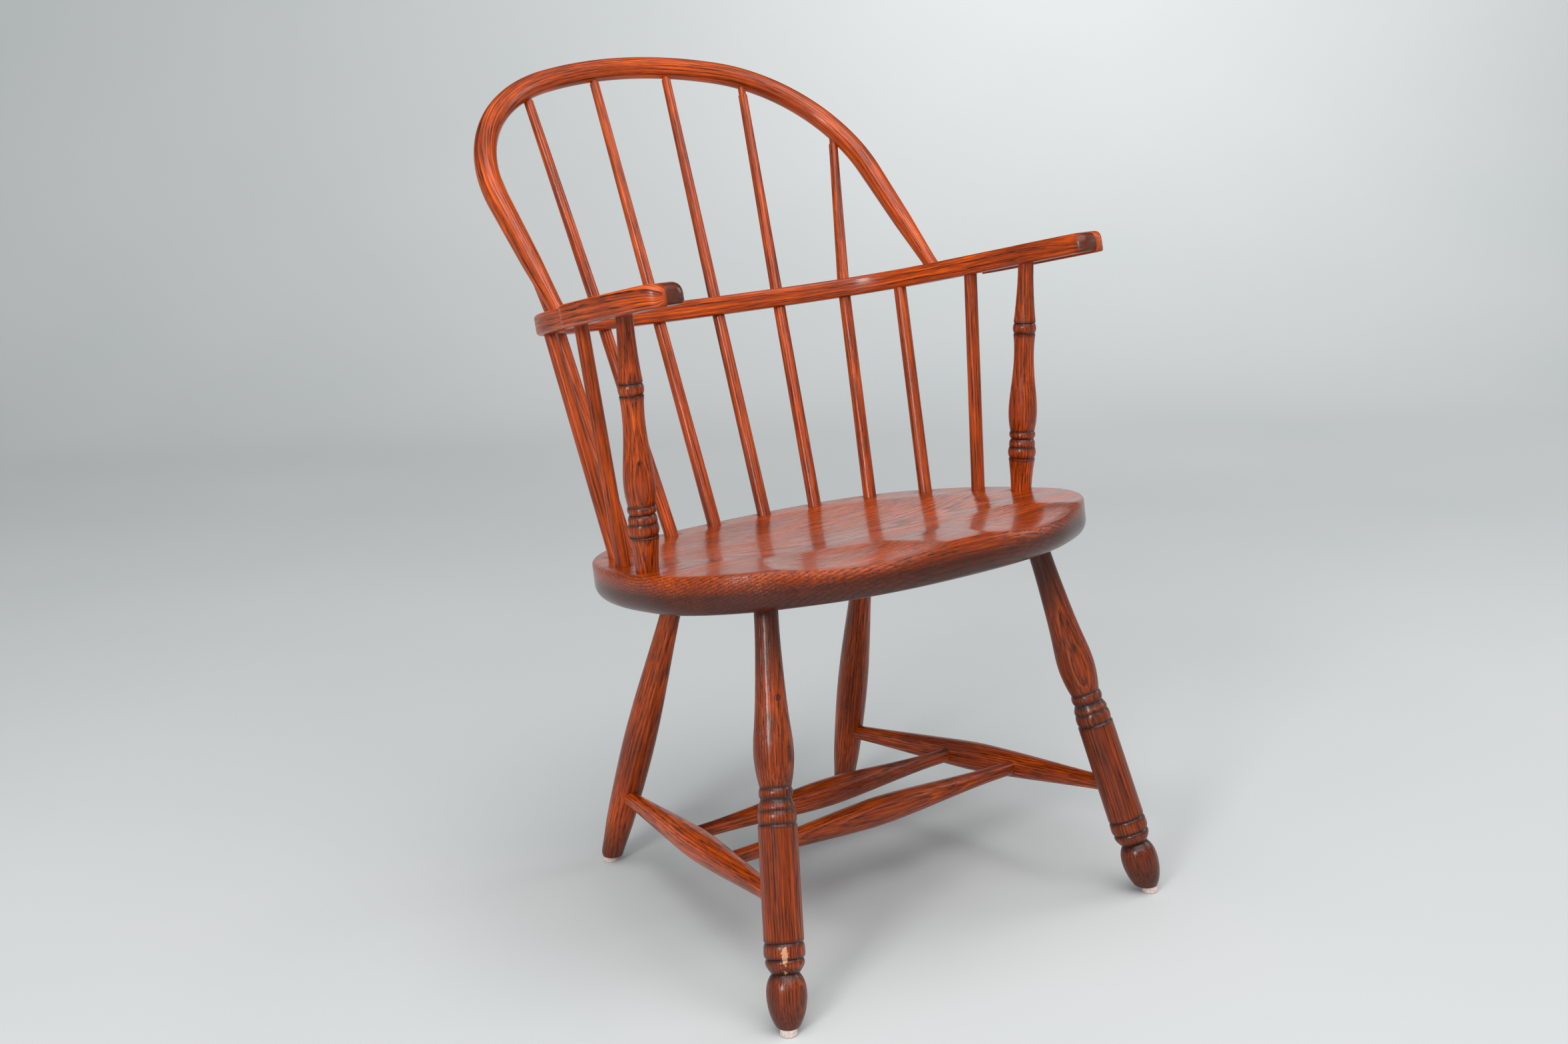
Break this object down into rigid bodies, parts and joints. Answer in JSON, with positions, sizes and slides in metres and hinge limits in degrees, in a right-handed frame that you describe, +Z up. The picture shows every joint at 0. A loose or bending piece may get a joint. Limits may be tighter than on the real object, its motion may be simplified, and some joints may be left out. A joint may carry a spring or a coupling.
{
  "type": "windsor chair",
  "caption": "Wooden windsor armchair with a bent bow back, spindles, a bent arm rail, a saddled seat and turned, splayed legs joined by stretchers.",
  "frame": {"origin": "centre of the chair's bounding box, on the floor", "axes": "+Z up, -Y the way the sitter faces, +X towards the sitter's left hand"},
  "size_m": [0.5962, 0.6471, 0.9251],
  "materials": {
    "wood": "reddish brown stain under a worn, fairly glossy varnish",
    "pin": "stained wooden pin, end grain",
    "glide": "pale translucent plastic, slightly worn",
    "nail": "plain steel nail"
  },
  "bodies": {
    "root": {"front_leg_left": "wood", "rear_leg_left": "wood", "side_stretcher_left": "wood", "front_leg_right": "wood", "rear_leg_right": "wood", "side_stretcher_right": "wood", "medial_stretcher_rear": "wood", "medial_stretcher_front": "wood", "glide_front_left": "glide", "glide_front_right": "glide", "glide_rear_left": "glide", "glide_rear_right": "glide", "glide_nails": "nail", "spindle_inner_left": "wood", "spindle_inner_right": "wood", "spindle_middle_left": "wood", "spindle_middle_right": "wood", "spindle_outer_left": "wood", "spindle_outer_right": "wood", "spindle_rear_short_left": "wood", "spindle_rear_short_right": "wood", "spindle_front_short_left": "wood", "spindle_front_short_right": "wood", "arm_post_left": "wood", "arm_post_right": "wood", "arm_pins": "pin", "bow": "wood", "arm_rail": "wood", "hand_block_left": "wood", "hand_block_right": "wood", "seat": "wood"}
  },
  "joints": []
}
